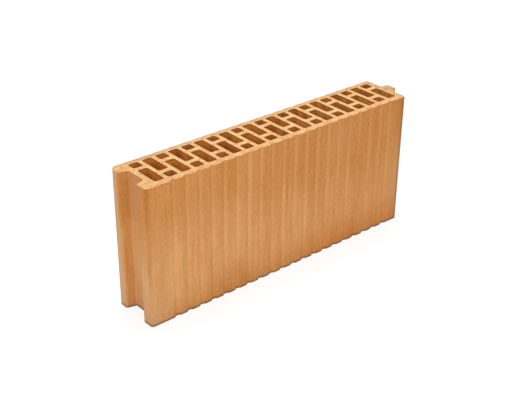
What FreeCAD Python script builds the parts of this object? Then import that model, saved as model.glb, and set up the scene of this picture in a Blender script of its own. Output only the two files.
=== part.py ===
import FreeCAD, Part
import math
import os

# Hollow clay partition block: one fired piece, holes running through from bed to bed.
# Millimetres. X runs along the block, from the groove end (-X) to the tongue end (+X).
# Y runs through the wall thickness, front face at -Y. Z is up, the lower bed lies on Z = 0.

# Body
BODY_LENGTH = 496.0            # end face to end face, the tongue not counted
BODY_THICKNESS = 84.0          # over the ribs of both side faces
BODY_HEIGHT = 219.0
GROOVE_END_FRONT_ROUND = 4.5   # upright outer corners beside the groove
GROOVE_END_BACK_ROUND = 9.0
TONGUE_END_ROUND = 2.5         # upright outer corners beside the tongue

# Holes: one small and one long hole in every column, swapping sides from column to column
COLUMNS = 21
CROSS_WEB = 6.4                # between neighbouring columns
GROOVE_WEB = 8.3               # between the groove floor and the first column
TONGUE_WEB = 10.3              # between the last column and the tongue end face
FRONT_SHELL = 11.0             # from the ribs of the front face to the holes
BACK_SHELL = 8.6               # from the ribs of the back face to the holes
INNER_WEB = 7.8                # between the two holes of a column
SMALL_HOLE = 14.9              # size of the small hole through the thickness
HOLE_ROUND = 2.8

# Groove in the end at -X
GROOVE_DEPTH = 15.0
GROOVE_FLOOR = 34.0            # width of its floor
GROOVE_OFFSET = 0.7            # middle of its floor from the middle of the block
GROOVE_BACK_FLARE = 4.0        # how much its wall at +Y opens towards the mouth
GROOVE_FRONT_FLARE = 5.2       # how much its wall at -Y opens towards the mouth
GROOVE_FLOOR_ROUND = 3.0
GROOVE_MOUTH_ROUND = 3.5

# Tongue on the end at +X
TONGUE_LENGTH = 13.5
TONGUE_TIP = 16.5              # width of its tip
TONGUE_TIP_OFFSET = 0.2        # middle of the tip from the middle of the block
TONGUE_BACK_FLARE = 2.0        # how much its side at +Y widens towards the root
TONGUE_FRONT_FLARE = 11.5      # how much its side at -Y widens towards the root
TONGUE_TIP_ROUND = 2.5
TONGUE_ROOT_ROUND = 1.5

# Upright flutes in both side faces, evenly spaced between two plain margins
FLUTES = 20
FLUTE_GROOVE_MARGIN = 45.0     # from the groove end face to the middle of the first flute
FLUTE_TONGUE_MARGIN = 32.5     # from the middle of the last flute to the tongue end face
FLUTE_MOUTH = 10.0
FLUTE_FLOOR = 5.2
FLUTE_ROUND = 1.4
FRONT_FLUTE_DEPTH = 2.3
BACK_FLUTE_DEPTH = 0.7

# Sizes that follow from the ones above
HALF_LENGTH = BODY_LENGTH / 2
HALF_THICKNESS = BODY_THICKNESS / 2
FIELD_START = -HALF_LENGTH + GROOVE_DEPTH + GROOVE_WEB
FIELD_LENGTH = BODY_LENGTH - GROOVE_DEPTH - GROOVE_WEB - TONGUE_WEB
FIELD_FRONT = -HALF_THICKNESS + FRONT_SHELL
FIELD_BACK = HALF_THICKNESS - BACK_SHELL
PITCH = (FIELD_LENGTH + CROSS_WEB) / COLUMNS
HOLE_WIDTH = PITCH - CROSS_WEB
LONG_HOLE = FIELD_BACK - FIELD_FRONT - INNER_WEB - SMALL_HOLE
FLUTE_START = -HALF_LENGTH + FLUTE_GROOVE_MARGIN
FLUTE_PITCH = (BODY_LENGTH - FLUTE_GROOVE_MARGIN - FLUTE_TONGUE_MARGIN) / (FLUTES - 1)


def rounded_face(corners):
    """Flat face inside a closed outline. Each corner is (x, y, radius of its round)."""
    starts = []
    ends = []
    middles = []
    count = len(corners)
    for i in range(count):
        x, y, radius = corners[i]
        before = corners[i - 1]
        after = corners[(i + 1) % count]
        here = FreeCAD.Vector(x, y, 0)
        to_before = FreeCAD.Vector(before[0], before[1], 0) - here
        to_after = FreeCAD.Vector(after[0], after[1], 0) - here
        shorter = min(to_before.Length, to_after.Length)
        to_before.normalize()
        to_after.normalize()
        half_angle = to_before.getAngle(to_after) / 2
        # A round takes at most 45 percent of the shorter side beside its corner.
        radius = min(radius, 0.45 * shorter * math.tan(half_angle))
        reach = radius / math.tan(half_angle)
        inward = to_before + to_after
        inward.normalize()
        starts.append(here + to_before * reach)
        ends.append(here + to_after * reach)
        middles.append(here + inward * (radius / math.sin(half_angle) - radius))
    edges = []
    for i in range(count):
        edges.append(Part.Arc(starts[i], middles[i], ends[i]).toShape())
        edges.append(Part.makeLine(ends[i], starts[(i + 1) % count]))
    return Part.Face(Part.Wire(edges))


def flute_corners(x, rim, depth, heading):
    """Corners of one flute. rim is the Y of its side face, and depth points into the block."""
    return [
        (x - heading * FLUTE_MOUTH / 2, rim, FLUTE_ROUND),
        (x - heading * FLUTE_FLOOR / 2, rim + depth, FLUTE_ROUND),
        (x + heading * FLUTE_FLOOR / 2, rim + depth, FLUTE_ROUND),
        (x + heading * FLUTE_MOUTH / 2, rim, FLUTE_ROUND),
    ]


def outline_corners():
    """Outer section of the block, anticlockwise from the front corner at the groove end."""
    flutes = [FLUTE_START + i * FLUTE_PITCH for i in range(FLUTES)]
    tip_x = HALF_LENGTH + TONGUE_LENGTH
    tip_front = TONGUE_TIP_OFFSET - TONGUE_TIP / 2
    tip_back = TONGUE_TIP_OFFSET + TONGUE_TIP / 2
    floor_x = -HALF_LENGTH + GROOVE_DEPTH
    floor_front = GROOVE_OFFSET - GROOVE_FLOOR / 2
    floor_back = GROOVE_OFFSET + GROOVE_FLOOR / 2

    corners = [(-HALF_LENGTH, -HALF_THICKNESS, GROOVE_END_FRONT_ROUND)]
    for x in flutes:
        corners += flute_corners(x, -HALF_THICKNESS, FRONT_FLUTE_DEPTH, 1)
    corners.append((HALF_LENGTH, -HALF_THICKNESS, TONGUE_END_ROUND))

    corners.append((HALF_LENGTH, tip_front - TONGUE_FRONT_FLARE, TONGUE_ROOT_ROUND))
    corners.append((tip_x, tip_front, TONGUE_TIP_ROUND))
    corners.append((tip_x, tip_back, TONGUE_TIP_ROUND))
    corners.append((HALF_LENGTH, tip_back + TONGUE_BACK_FLARE, TONGUE_ROOT_ROUND))

    corners.append((HALF_LENGTH, HALF_THICKNESS, TONGUE_END_ROUND))
    for x in reversed(flutes):
        corners += flute_corners(x, HALF_THICKNESS, -BACK_FLUTE_DEPTH, -1)
    corners.append((-HALF_LENGTH, HALF_THICKNESS, GROOVE_END_BACK_ROUND))

    corners.append((-HALF_LENGTH, floor_back + GROOVE_BACK_FLARE, GROOVE_MOUTH_ROUND))
    corners.append((floor_x, floor_back, GROOVE_FLOOR_ROUND))
    corners.append((floor_x, floor_front, GROOVE_FLOOR_ROUND))
    corners.append((-HALF_LENGTH, floor_front - GROOVE_FRONT_FLARE, GROOVE_MOUTH_ROUND))
    return corners


def hole_face(x, y_low, y_high):
    """Section of one hole with rounded corners. x is its lower end along the block."""
    return rounded_face([
        (x, y_low, HOLE_ROUND),
        (x + HOLE_WIDTH, y_low, HOLE_ROUND),
        (x + HOLE_WIDTH, y_high, HOLE_ROUND),
        (x, y_high, HOLE_ROUND),
    ])


def hole_faces():
    """Sections of all holes, two in each column."""
    faces = []
    for i in range(COLUMNS):
        x = FIELD_START + i * PITCH
        # The small hole is at the back in the first column, at the front in the next.
        first_hole = LONG_HOLE if i % 2 == 0 else SMALL_HOLE
        split = FIELD_FRONT + first_hole
        faces.append(hole_face(x, FIELD_FRONT, split))
        faces.append(hole_face(x, split + INNER_WEB, FIELD_BACK))
    return faces


section = rounded_face(outline_corners()).cut(Part.makeCompound(hole_faces()))
clay_block = section.Faces[0].extrude(FreeCAD.Vector(0, 0, BODY_HEIGHT))
# X = 0 lies midway along the whole block, the tongue counted.
clay_block.translate(FreeCAD.Vector(-TONGUE_LENGTH / 2, 0, 0))
os.makedirs("parts", exist_ok=True)
clay_block.exportStep("parts/clay_block.step")
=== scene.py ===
# A hollow fired-clay partition block, standing on its bed with the holes upright.
import math

import bmesh
import bpy
from mathutils import Matrix, Vector


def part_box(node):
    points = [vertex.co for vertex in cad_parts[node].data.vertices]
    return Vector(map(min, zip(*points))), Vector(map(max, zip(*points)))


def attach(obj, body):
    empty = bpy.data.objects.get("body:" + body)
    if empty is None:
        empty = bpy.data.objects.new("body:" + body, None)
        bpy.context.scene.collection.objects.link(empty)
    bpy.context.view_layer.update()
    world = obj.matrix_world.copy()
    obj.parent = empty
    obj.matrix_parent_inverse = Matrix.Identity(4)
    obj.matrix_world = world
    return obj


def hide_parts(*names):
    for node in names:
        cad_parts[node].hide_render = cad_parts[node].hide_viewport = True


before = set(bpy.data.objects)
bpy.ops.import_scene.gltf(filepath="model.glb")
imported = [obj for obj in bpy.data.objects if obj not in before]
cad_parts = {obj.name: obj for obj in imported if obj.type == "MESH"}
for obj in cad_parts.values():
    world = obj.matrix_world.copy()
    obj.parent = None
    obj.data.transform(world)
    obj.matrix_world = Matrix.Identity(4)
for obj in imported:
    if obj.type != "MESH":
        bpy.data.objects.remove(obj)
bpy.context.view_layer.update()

MM = 0.001
BLOCK_LOW, BLOCK_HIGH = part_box("clay_block")
BLOCK_HEIGHT = BLOCK_HIGH[2] - BLOCK_LOW[2]

# Stage: how the floor and the room light the block, and how the camera sees them
WHITE = (1, 1, 1, 1)
FLOOR_SIZE = 12                      # metres
FLOOR_BOUNCE = (0.8, 0.8, 0.8, 1)    # what the floor throws back on the block
FLOOR_SHADE = (0.28, 0.28, 0.28, 1)  # the part of the seen floor that takes the shadow
FLOOR_GLOW = 0.81                    # and the part that stays white
ROOM_LIGHT = 0.55
BACKDROP_LIGHT = 1.0

# Soft lights: name, place, width and height in metres, power in watts
LAMPS = [
    ("overhead", (0.30, 0.40, 2.3), 1.2, 1.2, 25),
    ("low_key", (-1.6, -1.8, 0.60), 2.4, 0.8, 13),
]

# Camera, as the photograph was taken
CAMERA_PLACE = Vector((-906.1, -1029.6, 841.5)) * MM
CAMERA_AZIMUTH = -40.529             # degrees, as the next two
CAMERA_ELEVATION = 28.837
CAMERA_ROLL = 0.503
LENS = 71.372
SENSOR = 36.0
NEAREST_SEEN = 0.05                  # metres
FARTHEST_SEEN = 60

# Where the holes lie, to tell their walls from the outside of the block
HOLES_FROM_X = -232.5 * MM
HOLES_TO_X = 232.5 * MM
HOLES_HALF_Y = 36.0 * MM

# Shaping of the fired piece
SAME_SPOT = 0.001 * MM               # loose corners nearer to each other than this are joined
SAME_PLANE = 0.5                     # wall faces within this many degrees become one strip
FLAT = 0.02 * MM                     # an edge that rises less than this is level
WALL_CUTS = 7                        # level cuts round every wall
LONGEST_STRIP = 4.5 * MM             # wall strips wider than this are split
ARRIS = 0.3 * MM                     # round along both beds, where the wire cut it off
ARRIS_STEPS = (30, 60, 90)           # degrees of that round at the end of each inset
SMOOTH_ANGLE = 38                    # edges that turn by more degrees than this stay crisp

# How far up or down a face looks, as the height of its normal
WALL_TILT = 0.5                      # a wall looks less far up or down than this
BED_TILT = 0.9                       # a bed looks further up than this
ROUND_TILT = 0.1                     # a face of a bed's round looks further up or down than this
LEVEL_TILT = 0.99                    # only the level bed itself looks further than this

# How the walls are out of true: name, direction, grain, strength, stretch along Z and where it starts
WARPS = [
    ("die_wear_along", "X", 16 * MM, 0.35 * MM, 1000.0, (0.3, 0.1, 0)),
    ("die_wear_across", "Y", 16 * MM, 0.35 * MM, 1000.0, (0.7, 0.4, 0)),
    ("kiln_bow_along", "X", 90 * MM, 0.4 * MM, 4.0, (0.2, 0.9, 0.5)),
    ("kiln_bow_across", "Y", 90 * MM, 0.4 * MM, 4.0, (0.5, 0.2, 0.1)),
]

# From here to the end of the tables, places and reaches are in millimetres
FLUTE_PITCH = 22.026                 # from flute to flute on both faces
FIRST_FLUTE = -209.55                # middle of the flute nearest the groove end
FLUTES_FROM = (-221, -219)           # where the flutes begin, and where their painted light and shade is full
FLUTES_TO = (220, 218)               # the same at the tongue end
NEAR_CORNER = -212.4                 # along less across, on the upright corner nearest the groove
NEAR_CORNER_REACH = 7
TONGUE_FLANK = (258.5, 260.5)        # along less across, on the tongue's front flank

# Clay colours, as light as they look in plain daylight
SPECULAR = 0.25                      # dry fired clay hardly shines
PALE_CLAY = (0.84, 0.430, 0.165, 1)
WARM_CLAY = (0.71, 0.295, 0.080, 1)
DEEP_CLAY = (0.62, 0.232, 0.048, 1)
ORANGE_CLAY = (0.74, 0.262, 0.045, 1)
# painted shade inside the groove, where its lips shade it
GROOVE_SHADE_CLAY = (0.50, 0.295, 0.070, 1)
CUT_CLAY = (0.84, 0.450, 0.200, 1)
YELLOW_CUT_CLAY = (0.86, 0.495, 0.225, 1)
# hole walls, lighter than the clay outside: painted light that evens out the shade deep in the holes
HOLE_CLAY = (0.93, 0.450, 0.098, 1)
DARK_HOLE_CLAY = (0.69, 0.295, 0.048, 1)
# painted shade: contact shadow along the foot, and the shaded flank at the tongue's tip
PAINTED_SHADE_BROWN = (0.21, 0.105, 0.045, 1)
# painted shade on upright corner rounds that turn from the light
CORNER_PAINTED_SHADE = (0.22, 0.092, 0.030, 1)
LIP_CLAY = (0.82, 0.460, 0.220, 1)
DUSTY_CLAY = (0.79, 0.520, 0.330, 1)
RIM_CLAY = (0.70, 0.430, 0.225, 1)
WEB_CLAY = (0.90, 0.540, 0.260, 1)
TONGUE_CLAY = (0.63, 0.370, 0.170, 1)
# dark pits on the walls, and painted shade in the holes near both mouths
PIT_AND_MOUTH_SHADE_CLAY = (0.36, 0.115, 0.015, 1)
PALER = (0.58, 0.44, 0.27, 1)        # what is added to a clay colour to make it paler
PALER_CUT = (0.52, 0.50, 0.36, 1)    # the same for the beds
NEAR_CORNER_DARKENING = (0.20, 0.166, 0.084, 1)     # what the near corner loses where it is darker

# Zones of the block. Each runs along, across or up the block. "from" gives where it begins and where it
# is full, "about" gives its middle and its reach. A last number, where there is one, is what it keeps
# before it begins.
FRONT_FACE = ("across", "from", -37, -38.5)
END_FACE = ("along", "from", -250, -254.2)
FAR_LIP = ("across", "from", 24, 28.5)
GROOVE_WALLS = [("along", "from", -253.5, -251.5), ("along", "from", -239.9, -241.5)]
GROOVE_WIDTH = [("across", "from", -25, -23.5), ("across", "from", 25, 23.5)]
PALE_BELT = [("up", "from", 175, 90), ("up", "from", -5, 52)]
MID_HEIGHT = ("up", "about", 93, 38)
UPPER_LEFT = [("along", "from", -60, -200), ("up", "from", 90, 180)]
LOWER_LEFT = [("along", "about", -80, 260), ("up", "about", 66, 66)]
AMONG_HOLES = [("along", "about", 0, 470), ("across", "from", 35, 31)]
BEHIND_FRONT_RIM = ("across", "from", -34, -30)
FAR_PAD = [("along", "from", -234, -238), ("across", "from", 12, 20)]
BACK_RIM = ("across", "from", 34, 38)
TONGUE_RIM = ("along", "from", 230, 236)
TONGUE_TOP = ("along", "from", 238, 243)
# painted shade where the tongue's shaded front flank meets its top, at the tip
TONGUE_TIP_SHADE = ("along", "about", 249, 6)

# Tints of the outside walls, one over the other: strength, clay and the zones whose overlap it covers
WALL_TINTS = [
    # left part, right part low down, patch at the far end, far upper corner, left foot
    (0.45, WARM_CLAY, ("along", "about", -172, 48), ("up", "about", 84, 75)),
    (0.35, ORANGE_CLAY, ("along", "from", -60, 60), ("up", "from", 48, 14)),
    (0.45, LIP_CLAY, ("along", "about", 236, 45), ("up", "about", 85, 95)),
    (0.50, DEEP_CLAY, ("along", "from", 190, 238), ("up", "from", 140, 205)),
    (0.45, LIP_CLAY, ("along", "from", -212, -228), ("up", "from", 70, 20)),
    # groove's side walls and its floor: painted shade inside the groove, with its floor made paler again
    (0.25, GROOVE_SHADE_CLAY, *GROOVE_WALLS, *GROOVE_WIDTH),
    (0.35, LIP_CLAY, ("along", "from", -241.5, -240.2), *GROOVE_WIDTH),
    # both lips of the groove, the whole end low down, and dust on the far lip
    (0.85, LIP_CLAY, END_FACE, FAR_LIP),
    (0.50, LIP_CLAY, END_FACE, ("across", "from", -22, -26), ("up", "from", 150, 60)),
    (0.45, LIP_CLAY, ("along", "from", -239, -241), ("up", "from", 60, 5)),
    (0.50, DUSTY_CLAY, END_FACE, FAR_LIP, ("across", "from", 40, 36), ("up", "from", 150, 50, 0.4)),
    # painted shade on the groove's back wall low down
    (0.35, DEEP_CLAY, *GROOVE_WALLS, ("across", "about", 18.5, 8), ("up", "from", 130, 70)),
    # painted shade on the far front corner and on the back corner beside the groove, where their rounds turn
    # from the light, and painted contact shadow along the foot
    (0.40, CORNER_PAINTED_SHADE, ("along", "from", 233, 236), ("across", "from", -30, -38)),
    (0.40, CORNER_PAINTED_SHADE, ("along", "from", -246, -253), ("across", "from", 32, 37)),
    (0.80, PAINTED_SHADE_BROWN, ("up", "from", 5.0, 1.2)),
]

# Painted light and shade across a flute: middle and reach from its own middle, and what changes there
FLUTE_LIGHT_BANDS = [
    (1.0, 3.9, "ADD", (0.125, 0.096, 0.052, 1)),
    (3.4, 3.0, "ADD", (0.000, 0.026, 0.018, 1)),
    (-5.0, 1.5, "ADD", (0.050, 0.034, 0.018, 1)),
    (-7.0, 3.2, "SUBTRACT", (0.006, 0.006, 0.004, 1)),
    (6.2, 3.8, "SUBTRACT", (0.014, 0.014, 0.006, 1)),
]

# Marks on the front face: middle along X and Z, reach along X and Z, and what changes there
FRONT_MARKS = [
    (162.6, 192.5, 3.0, 5.0, "SUBTRACT", (0.160, 0.090, 0.035, 1)),
    (65.6, 197.0, 2.6, 4.5, "ADD", (0.120, 0.090, 0.050, 1)),
    (-220.4, 200.3, 4.5, 2.8, "ADD", (0.090, 0.065, 0.036, 1)),
    (-120.8, 171.0, 1.8, 18.0, "ADD", (0.120, 0.085, 0.046, 1)),
    (-211.3, 84.0, 2.0, 27.0, "ADD", (0.110, 0.080, 0.044, 1)),
    (-201.2, 88.0, 1.8, 22.0, "ADD", (0.100, 0.072, 0.040, 1)),
    (-189.9, 83.0, 1.8, 20.0, "ADD", (0.100, 0.072, 0.040, 1)),
    (-177.0, 70.0, 2.2, 27.0, "ADD", (0.130, 0.092, 0.050, 1)),
    (-10.0, 133.0, 2.0, 24.0, "ADD", (0.120, 0.088, 0.048, 1)),
    (-1.2, 129.0, 2.0, 20.0, "ADD", (0.120, 0.088, 0.048, 1)),
    (-200.5, 55.0, 1.6, 14.0, "ADD", (0.080, 0.058, 0.032, 1)),
    (-167.0, 62.0, 1.6, 20.0, "ADD", (0.080, 0.058, 0.032, 1)),
    (-155.5, 74.0, 1.6, 22.0, "ADD", (0.080, 0.058, 0.032, 1)),
    (-228.9, 19.8, 4.0, 4.5, "ADD", (0.100, 0.072, 0.038, 1)),
    # pale band beside the near corner: painted highlight
    (-247.0, 95.0, 4.0, 60.0, "ADD", (0.030, 0.030, 0.020, 1)),
]


def add_node(tree, kind, inputs=None, **settings):
    """Adds a shader node. inputs gives its sockets a value or the socket that feeds them."""
    node = tree.nodes.new(kind)
    for name, value in settings.items():
        setattr(node, name, value)
    for name, value in (inputs or {}).items():
        if isinstance(value, bpy.types.NodeSocket):
            tree.links.new(value, node.inputs[name])
        else:
            node.inputs[name].default_value = value
    return node


def empty_material(name):
    material = bpy.data.materials.new(name)
    material.use_nodes = True
    material.node_tree.nodes.clear()
    return material


def place_on_block(tree, stretch=(1, 1, 1), shift=(0, 0, 0)):
    """Place on the block in millimetres, with each direction drawn out by its stretch."""
    place = add_node(tree, "ShaderNodeTexCoord").outputs["Object"]
    scale = [1 / (MM * amount) for amount in stretch]
    mapping = add_node(tree, "ShaderNodeMapping", {"Vector": place, "Location": shift, "Scale": scale})
    return mapping.outputs["Vector"]


def places_on_block(tree):
    """How far a point lies along, across and up the block, in millimetres."""
    parts = add_node(tree, "ShaderNodeSeparateXYZ", {"Vector": place_on_block(tree)})
    return dict(zip(("along", "across", "up"), parts.outputs))


def noise(tree, grain, stretch=(1, 1, 1), shift=(0, 0, 0), detail=2.0):
    """Soft patches from 0 to 1, each about grain millimetres wide before the stretch."""
    place = place_on_block(tree, stretch, shift)
    patches = add_node(tree, "ShaderNodeTexNoise", {"Vector": place, "Scale": 1 / grain, "Detail": detail})
    return patches.outputs["Fac"]


def ranged(tree, value, low, high, at_low=0.0, at_high=1.0):
    """Turns the stretch of value from low to high into at_low to at_high."""
    node = add_node(tree, "ShaderNodeMapRange", {"Value": value, "From Min": low, "From Max": high,
                                                 "To Min": at_low, "To Max": at_high})
    return node.outputs["Result"]


def maths(tree, operation, first, second):
    return add_node(tree, "ShaderNodeMath", {0: first, 1: second}, operation=operation).outputs[0]


def blended(tree, factor, first, second, way="MIX"):
    node = add_node(tree, "ShaderNodeMix", {0: factor, 6: first, 7: second}, data_type="RGBA", blend_type=way)
    return node.outputs[2]


def added(tree, parts):
    """Sum of values. parts pairs each value with what it is multiplied by."""
    total = None
    for value, strength in parts:
        part = maths(tree, "MULTIPLY", value, strength)
        total = part if total is None else maths(tree, "ADD", total, part)
    return total


def toned(tree, colour, patches, paler=PALER):
    """Makes colour paler and deeper. patches pairs each noise with how strongly it does so."""
    tone = added(tree, [(ranged(tree, value, 0.25, 0.75, -1, 1), strength) for value, strength in patches])
    shift = blended(tree, 1.0, paler, tone, "MULTIPLY")
    return blended(tree, 1.0, colour, shift, "ADD")


def relief(tree, heights):
    """Bump whose parts are pairs of a noise and its depth in millimetres."""
    bump = add_node(tree, "ShaderNodeBump", {"Height": added(tree, heights), "Strength": 1.0, "Distance": MM})
    return bump.outputs["Normal"]


def fired_surface(tree, colour, roughness, normal):
    surface = add_node(tree, "ShaderNodeBsdfPrincipled", {
        "Base Color": colour, "Roughness": roughness, "Specular IOR Level": SPECULAR, "Normal": normal})
    add_node(tree, "ShaderNodeOutputMaterial", {"Surface": surface.outputs["BSDF"]})


def specks(tree, spacing, radius, share, shift=(0, 0, 0)):
    """Small round spots, 1 in their middle. share of the cells of spacing millimetres hold one."""
    place = place_on_block(tree, shift=shift)
    cells = add_node(tree, "ShaderNodeTexVoronoi", {"Vector": place, "Scale": 1 / spacing})
    spot = ranged(tree, cells.outputs["Distance"], radius / spacing, 0.5 * radius / spacing)
    chance = add_node(tree, "ShaderNodeSeparateColor", {"Color": cells.outputs["Color"]}).outputs["Red"]
    return maths(tree, "MULTIPLY", spot, maths(tree, "LESS_THAN", chance, share))


def rib_tone(tree, along):
    """One random value for each rib and the flute beside it."""
    place = maths(tree, "DIVIDE", maths(tree, "SUBTRACT", along, FIRST_FLUTE - FLUTE_PITCH / 2), FLUTE_PITCH)
    number = maths(tree, "FLOOR", place, 0.0)
    return add_node(tree, "ShaderNodeTexWhiteNoise", {"W": number}, noise_dimensions="1D").outputs["Value"]


def band(tree, place, middle, reach):
    """1 at middle, falling softly to 0 at reach millimetres on both sides."""
    away = maths(tree, "ABSOLUTE", maths(tree, "SUBTRACT", place, middle), 0.0)
    node = add_node(tree, "ShaderNodeMapRange", {"Value": away, "From Min": reach, "From Max": 0.0},
                    interpolation_type="SMOOTHSTEP")
    return node.outputs["Result"]


def zone(tree, places, axis, kind, first, second, before=0.0):
    """1 inside a zone of the block, and before outside it, with a soft border."""
    if kind == "about":
        return band(tree, places[axis], first, second)
    return ranged(tree, places[axis], first, second, before)


def overlap(tree, places, zones, strength=1.0):
    """strength where all the zones overlap, falling softly to 0 outside them."""
    for each in zones:
        strength = maths(tree, "MULTIPLY", zone(tree, places, *each), strength)
    return strength


def painted_flute_light(tree, colour, places):
    """Painted light and shade across each flute: pale in the flute, and a little deeper on the rib beside it.
    """
    along, up = places["along"], places["up"]
    start = maths(tree, "SUBTRACT", along, FIRST_FLUTE - FLUTE_PITCH / 2)
    place = maths(tree, "SUBTRACT", maths(tree, "FLOORED_MODULO", start, FLUTE_PITCH), FLUTE_PITCH / 2)
    fluted = maths(tree, "MULTIPLY", ranged(tree, along, *FLUTES_FROM), ranged(tree, along, *FLUTES_TO))
    uneven = ranged(tree, noise(tree, 30, (1, 1, 4), (60, 3, 9)), 0.3, 0.7, 0.45, 1.0)
    uneven = maths(tree, "MULTIPLY", uneven, ranged(tree, up, 20, 120, 0.45, 1.0))
    upper_left = overlap(tree, places, UPPER_LEFT)
    uneven = maths(tree, "MULTIPLY", uneven, ranged(tree, upper_left, 0, 1, 1.0, 0.75))
    amount = maths(tree, "MULTIPLY", fluted, uneven)
    for middle, reach, way, shift in FLUTE_LIGHT_BANDS:
        here = maths(tree, "MULTIPLY", band(tree, place, middle, reach), amount)
        colour = blended(tree, here, colour, shift, way)
    return colour


def marked(tree, colour, places):
    """The few spots and scrapes that the front face bears, and a painted highlight beside the near corner."""
    for x, z, reach_x, reach_z, way, shift in FRONT_MARKS:
        mark = [("along", "about", x, reach_x), ("up", "about", z, reach_z)]
        colour = blended(tree, overlap(tree, places, [*mark, FRONT_FACE]), colour, shift, way)
    return colour


def darkened_corner(tree, colour, places):
    """The upright corner nearest the groove is darker brown, most of all at mid height."""
    beside = maths(tree, "SUBTRACT", places["along"], places["across"])
    near_corner = band(tree, beside, NEAR_CORNER, NEAR_CORNER_REACH)
    everywhere = ranged(tree, places["up"], 40, 68, 0.28, 0.5)
    wear = maths(tree, "ADD", everywhere, overlap(tree, places, [MID_HEIGHT], 0.4))
    return blended(tree, maths(tree, "MULTIPLY", near_corner, wear), colour, NEAR_CORNER_DARKENING, "SUBTRACT")


def outer_clay():
    """Outside walls, smooth from the extruder's mouthpiece and streaked along the way it pressed them."""
    material = empty_material("outer_clay")
    tree = material.node_tree
    places = places_on_block(tree)

    cloud = ranged(tree, noise(tree, 70, (1, 1, 1.5), (31, 7, 2)), 0.35, 0.65, -0.2, 0.2)
    to_groove = ranged(tree, places["along"], 250, -250, 0.10, 0.55)
    belt = ranged(tree, overlap(tree, places, PALE_BELT), 0, 1, 0.15, 2.0)
    pale = maths(tree, "ADD", cloud, maths(tree, "MULTIPLY", to_groove, belt))
    colour = blended(tree, pale, WARM_CLAY, PALE_CLAY)
    deep = ranged(tree, noise(tree, 22, (1, 1, 7), (3, 90, 14)), 0.50, 0.72, 0, 0.35)
    colour = blended(tree, deep, colour, DEEP_CLAY)
    for strength, clay, *zones in WALL_TINTS:
        colour = blended(tree, overlap(tree, places, zones, strength), colour, clay)
    colour = darkened_corner(tree, colour, places)

    broad_streaks = noise(tree, 7, (1, 1, 30), (5, 2, 0))
    fine_streaks = noise(tree, 1.8, (1, 1, 25), (9, 4, 1))
    mottle = noise(tree, 3.5, (1, 1, 1.6), (0, 11, 5))
    grain = noise(tree, 0.8, detail=3.0)
    short_streaks = ranged(tree, noise(tree, 1.6, (1, 1, 18), (4, 9, 2)), 0.60, 0.75)
    colour = toned(tree, colour, [(broad_streaks, 0.040), (fine_streaks, 0.048), (mottle, 0.075),
                                  (grain, 0.090), (rib_tone(tree, places["along"]), 0.012)])
    colour = blended(tree, maths(tree, "MULTIPLY", short_streaks, 0.08), colour, PALER, "ADD")
    rubbed_streaks = noise(tree, 3.2, (1, 1, 18), (2, 7, 11))
    colour = toned(tree, colour, [(rubbed_streaks, overlap(tree, places, LOWER_LEFT, 0.12))])
    colour = painted_flute_light(tree, colour, places)
    colour = marked(tree, colour, places)
    pits = specks(tree, spacing=9, radius=0.8, share=0.16)
    colour = blended(tree, maths(tree, "MULTIPLY", pits, 0.55), colour, PIT_AND_MOUTH_SHADE_CLAY)
    lime = specks(tree, spacing=13, radius=0.9, share=0.10, shift=(40, 8, 3))
    colour = blended(tree, maths(tree, "MULTIPLY", lime, 0.5), colour, CUT_CLAY)

    roughness = ranged(tree, mottle, 0.3, 0.7, 0.82, 0.96)
    normal = relief(tree, [(broad_streaks, 0.12), (fine_streaks, 0.06), (mottle, 0.12), (grain, 0.06),
                           (pits, -0.35)])
    fired_surface(tree, colour, roughness, normal)
    return material


def hole_clay():
    """Walls of the holes, redder than the outside, darker near both mouths with painted shade, and lighter
    deeper in with painted light against the shade there.
    """
    material = empty_material("hole_clay")
    tree = material.node_tree
    cloud = noise(tree, 14, (1, 1, 2), (8, 5, 1))
    colour = blended(tree, ranged(tree, cloud, 0.40, 0.60), HOLE_CLAY, DARK_HOLE_CLAY)
    streaks = noise(tree, 1.6, (1, 1, 30), (2, 6, 3))
    grain = noise(tree, 0.9, detail=3.0)
    colour = toned(tree, colour, [(streaks, 0.06), (grain, 0.05)])
    up = places_on_block(tree)["up"]
    from_mouth = maths(tree, "MINIMUM", maths(tree, "SUBTRACT", BLOCK_HEIGHT / MM, up), up)
    # painted shade on the hole walls near both mouths
    colour = blended(tree, ranged(tree, from_mouth, 5, 0.3, 0, 0.75), colour, PIT_AND_MOUTH_SHADE_CLAY)
    normal = relief(tree, [(streaks, 0.2), (grain, 0.08)])
    fired_surface(tree, colour, ranged(tree, grain, 0.3, 0.7, 0.85, 0.97), normal)
    return material


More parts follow.
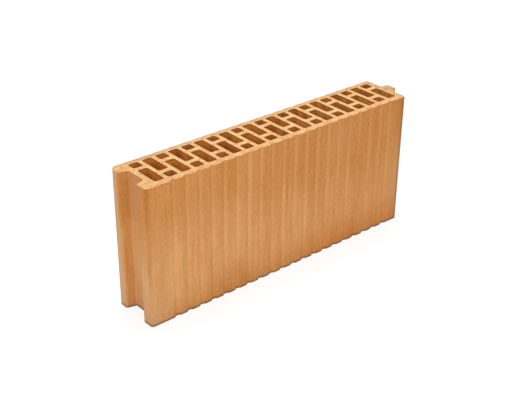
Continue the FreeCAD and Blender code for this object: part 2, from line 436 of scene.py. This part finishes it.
def cut_clay():
    """Both beds, where a wire cut the soft clay: open grain and faint marks across the block."""
    material = empty_material("cut_clay")
    tree = material.node_tree
    places = places_on_block(tree)
    cloud = noise(tree, 26, shift=(4, 3, 8))
    colour = blended(tree, ranged(tree, cloud, 0.35, 0.65), CUT_CLAY, YELLOW_CUT_CLAY)
    webs = ranged(tree, overlap(tree, places, AMONG_HOLES), 0, 0.5)
    webs = maths(tree, "MULTIPLY", webs, overlap(tree, places, [BEHIND_FRONT_RIM], 0.5))
    colour = blended(tree, webs, colour, WEB_CLAY)
    colour = blended(tree, overlap(tree, places, FAR_PAD, 0.8), colour, PALE_CLAY)
    far_rim = maths(tree, "MAXIMUM", zone(tree, places, *BACK_RIM), zone(tree, places, *TONGUE_RIM))
    colour = blended(tree, far_rim, colour, RIM_CLAY)
    colour = blended(tree, zone(tree, places, *TONGUE_TOP), colour, TONGUE_CLAY)
    # painted shade at the tongue's tip, where its shaded front flank meets the top
    flank = ranged(tree, maths(tree, "SUBTRACT", places["along"], places["across"]), *TONGUE_FLANK)
    tip_shade = maths(tree, "MULTIPLY", flank, overlap(tree, places, [TONGUE_TIP_SHADE], 0.9))
    colour = blended(tree, tip_shade, colour, PAINTED_SHADE_BROWN)
    wire_marks = noise(tree, 1.1, (1, 28, 1), (6, 1, 0))
    mottle = noise(tree, 4, shift=(1, 9, 2))
    grain = noise(tree, 0.8, detail=3.0)
    blotches = noise(tree, 9, (1.6, 1, 1), (20, 14, 6))
    colour = toned(tree, colour, [(wire_marks, 0.06), (blotches, 0.20), (mottle, 0.22), (grain, 0.17)],
                   PALER_CUT)
    pits = specks(tree, spacing=5, radius=0.7, share=0.25)
    colour = blended(tree, maths(tree, "MULTIPLY", pits, 0.45), colour, WARM_CLAY)
    normal = relief(tree, [(wire_marks, 0.10), (mottle, 0.15), (grain, 0.08), (pits, -0.4)])
    fired_surface(tree, colour, ranged(tree, mottle, 0.3, 0.7, 0.86, 0.98), normal)
    return material


def foot_shade_clay():
    """Round along the lower bed, brown with painted contact shadow."""
    material = empty_material("foot_shade_clay")
    tree = material.node_tree
    cloud = noise(tree, 8, shift=(7, 7, 7))
    colour = blended(tree, ranged(tree, cloud, 0.3, 0.7), PAINTED_SHADE_BROWN, DEEP_CLAY)
    grain = noise(tree, 0.8, detail=3.0)
    colour = toned(tree, colour, [(grain, 0.03)])
    normal = relief(tree, [(cloud, 0.15), (grain, 0.08)])
    fired_surface(tree, colour, ranged(tree, grain, 0.3, 0.7, 0.86, 0.98), normal)
    return material


def white_floor():
    material = empty_material("white_floor")
    tree = material.node_tree
    seen = add_node(tree, "ShaderNodeLightPath").outputs["Is Camera Ray"]
    bounce = add_node(tree, "ShaderNodeBsdfDiffuse", {"Color": FLOOR_BOUNCE})
    sheet = add_node(tree, "ShaderNodeBsdfDiffuse", {"Color": FLOOR_SHADE})
    glow = add_node(tree, "ShaderNodeEmission", {"Color": WHITE, "Strength": FLOOR_GLOW})
    shown = add_node(tree, "ShaderNodeAddShader", {0: sheet.outputs[0], 1: glow.outputs[0]})
    both = add_node(tree, "ShaderNodeMixShader", {0: seen, 1: bounce.outputs[0], 2: shown.outputs[0]})
    add_node(tree, "ShaderNodeOutputMaterial", {"Surface": both.outputs[0]})
    return material


def use_alone(piece):
    """Selects piece and nothing else, and makes it the one that the next operators work on."""
    bpy.ops.object.select_all(action="DESELECT")
    piece.select_set(True)
    bpy.context.view_layer.objects.active = piece


def merged_copy(node, name):
    """A copy of a node's mesh as a new piece, in edit mode, with its loose triangles joined."""
    piece = bpy.data.objects.new(name, node.data.copy())
    piece.data.name = name
    bpy.context.scene.collection.objects.link(piece)
    use_alone(piece)
    bpy.ops.object.mode_set(mode="EDIT")
    bpy.ops.mesh.select_all(action="SELECT")
    bpy.ops.mesh.remove_doubles(threshold=SAME_SPOT)
    return piece


def pick(piece, kind, wanted):
    """In edit mode, selects the faces or edges that wanted says yes to. Returns how many."""
    bpy.ops.mesh.select_all(action="DESELECT")
    bpy.ops.mesh.select_mode(type=kind)
    mesh = bmesh.from_edit_mesh(piece.data)
    mesh.normal_update()
    count = 0
    for element in (mesh.faces if kind == "FACE" else mesh.edges):
        if wanted(element):
            element.select_set(True)
            count += 1
    mesh.select_flush_mode()
    bmesh.update_edit_mesh(piece.data)
    return count


def split_walls(piece):
    """Makes each wall one strip, and gives it level cuts and, where it is wide, upright ones."""
    pick(piece, "FACE", lambda face: abs(face.normal.z) < WALL_TILT)
    bpy.ops.mesh.dissolve_limited(angle_limit=math.radians(SAME_PLANE), use_dissolve_boundaries=False)

    def upright(edge):
        return abs(edge.verts[0].co.z - edge.verts[1].co.z) > BLOCK_HEIGHT / 2

    pick(piece, "EDGE", upright)
    bpy.ops.mesh.subdivide(number_cuts=WALL_CUTS)

    def on_wall(edge):
        level = abs(edge.verts[0].co.z - edge.verts[1].co.z) < FLAT
        return level and any(abs(face.normal.z) < WALL_TILT for face in edge.link_faces)

    mesh = bmesh.from_edit_mesh(piece.data)
    widest = max(edge.calc_length() for edge in mesh.edges if on_wall(edge))
    for cuts in range(int(widest / LONGEST_STRIP), 0, -1):
        def fits(edge):
            return on_wall(edge) and int(edge.calc_length() / LONGEST_STRIP) == cuts
        if pick(piece, "EDGE", fits):
            bpy.ops.mesh.subdivide(number_cuts=cuts)


def round_bed(piece, side):
    """Rounds the rims of one bed and of the holes in it. side is 1 for the upper bed."""
    pick(piece, "FACE", lambda face: face.normal.z * side > BED_TILT)
    bpy.ops.transform.translate(value=(0, 0, -side * ARRIS))
    turned = 0.0
    for degrees in ARRIS_STEPS:
        angle = math.radians(degrees)
        inward = ARRIS * (math.cos(turned) - math.cos(angle))
        outward = ARRIS * (math.sin(angle) - math.sin(turned))
        bpy.ops.mesh.inset(thickness=inward, depth=outward, use_even_offset=True)
        turned = angle


def give_materials(piece):
    """Walls, holes, beds and foot each get their own finish."""
    piece.data.materials.clear()
    for material in (outer_clay(), hole_clay(), cut_clay(), foot_shade_clay()):
        piece.data.materials.append(material)
    outside, hole, bed, foot = range(4)

    def in_hole(face):
        middle = face.calc_center_median()
        return HOLES_FROM_X < middle.x < HOLES_TO_X and abs(middle.y) < HOLES_HALF_Y

    mesh = bmesh.from_edit_mesh(piece.data)
    mesh.normal_update()
    for face in mesh.faces:
        if abs(face.normal.z) > ROUND_TILT:
            outer_foot = -LEVEL_TILT < face.normal.z < 0 and not in_hole(face)
            face.material_index = foot if outer_foot else bed
        else:
            face.material_index = hole if in_hole(face) else outside
    bmesh.update_edit_mesh(piece.data)


def warp(piece, name, direction, grain, strength, height, start):
    """Presses the walls softly out of true. Along Z the pattern is drawn out height times."""
    stretch = bpy.data.objects.new(name, None)
    bpy.context.scene.collection.objects.link(stretch)
    stretch.location = start
    stretch.scale = (1, 1, height)
    bpy.context.view_layer.update()
    texture = bpy.data.textures.new(name, "CLOUDS")
    texture.noise_scale = grain
    texture.noise_depth = 1
    modifier = piece.modifiers.new(name, "DISPLACE")
    modifier.texture = texture
    modifier.texture_coords = "OBJECT"
    modifier.texture_coords_object = stretch
    modifier.direction = direction
    modifier.mid_level = 0.5
    modifier.strength = strength
    use_alone(piece)
    bpy.ops.object.modifier_apply(modifier=name)
    bpy.data.objects.remove(stretch)


def fired_block(node):
    """The block as it left the kiln: rounded rims, walls slightly out of true, four finishes."""
    piece = merged_copy(node, "fired_block")
    split_walls(piece)
    round_bed(piece, 1)
    round_bed(piece, -1)
    give_materials(piece)
    bpy.ops.object.mode_set(mode="OBJECT")
    for waves in WARPS:
        warp(piece, *waves)
    use_alone(piece)
    bpy.ops.object.shade_smooth_by_angle(angle=math.radians(SMOOTH_ANGLE))
    weighted = piece.modifiers.new("weighted_normals", "WEIGHTED_NORMAL")
    weighted.keep_sharp = True
    bpy.ops.object.modifier_apply(modifier=weighted.name)
    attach(piece, "root")
    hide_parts("clay_block")


def add_stage():
    bpy.ops.mesh.primitive_plane_add(size=FLOOR_SIZE, location=(0, 0, 0))
    floor = bpy.context.object
    floor.name = "floor"
    floor.data.materials.append(white_floor())


def add_world():
    world = bpy.data.worlds.new("studio")
    bpy.context.scene.world = world
    world.use_nodes = True
    tree = world.node_tree
    tree.nodes.clear()
    seen = add_node(tree, "ShaderNodeLightPath").outputs["Is Camera Ray"]
    room = add_node(tree, "ShaderNodeBackground", {"Color": WHITE, "Strength": ROOM_LIGHT})
    backdrop = add_node(tree, "ShaderNodeBackground", {"Color": WHITE, "Strength": BACKDROP_LIGHT})
    both = add_node(tree, "ShaderNodeMixShader", {0: seen, 1: room.outputs[0], 2: backdrop.outputs[0]})
    add_node(tree, "ShaderNodeOutputWorld", {"Surface": both.outputs[0]})


def add_softbox(name, place, width, height, power):
    """A soft light at place, width by height metres, turned towards the middle of the block."""
    light = bpy.data.lights.new(name, "AREA")
    light.shape = "RECTANGLE"
    light.size = width
    light.size_y = height
    light.energy = power
    lamp = bpy.data.objects.new(name, light)
    bpy.context.scene.collection.objects.link(lamp)
    lamp.location = place
    aim = Vector((0, 0, BLOCK_HEIGHT / 2)) - Vector(place)
    lamp.rotation_mode = "QUATERNION"
    lamp.rotation_quaternion = aim.to_track_quat("-Z", "Y")


def add_camera():
    data = bpy.data.cameras.new("photo_camera")
    data.sensor_width = SENSOR
    data.lens = LENS
    data.clip_start = NEAREST_SEEN
    data.clip_end = FARTHEST_SEEN
    camera = bpy.data.objects.new("photo_camera", data)
    bpy.context.scene.collection.objects.link(camera)
    turn = (Matrix.Rotation(math.radians(CAMERA_AZIMUTH), 4, "Z")
            @ Matrix.Rotation(math.radians(90 - CAMERA_ELEVATION), 4, "X")
            @ Matrix.Rotation(math.radians(CAMERA_ROLL), 4, "Z"))
    camera.matrix_world = Matrix.Translation(CAMERA_PLACE) @ turn
    bpy.context.scene.camera = camera


fired_block(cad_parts["clay_block"])
add_stage()
add_world()
for lamp in LAMPS:
    add_softbox(*lamp)
add_camera()
bpy.context.scene.view_settings.view_transform = "Standard"
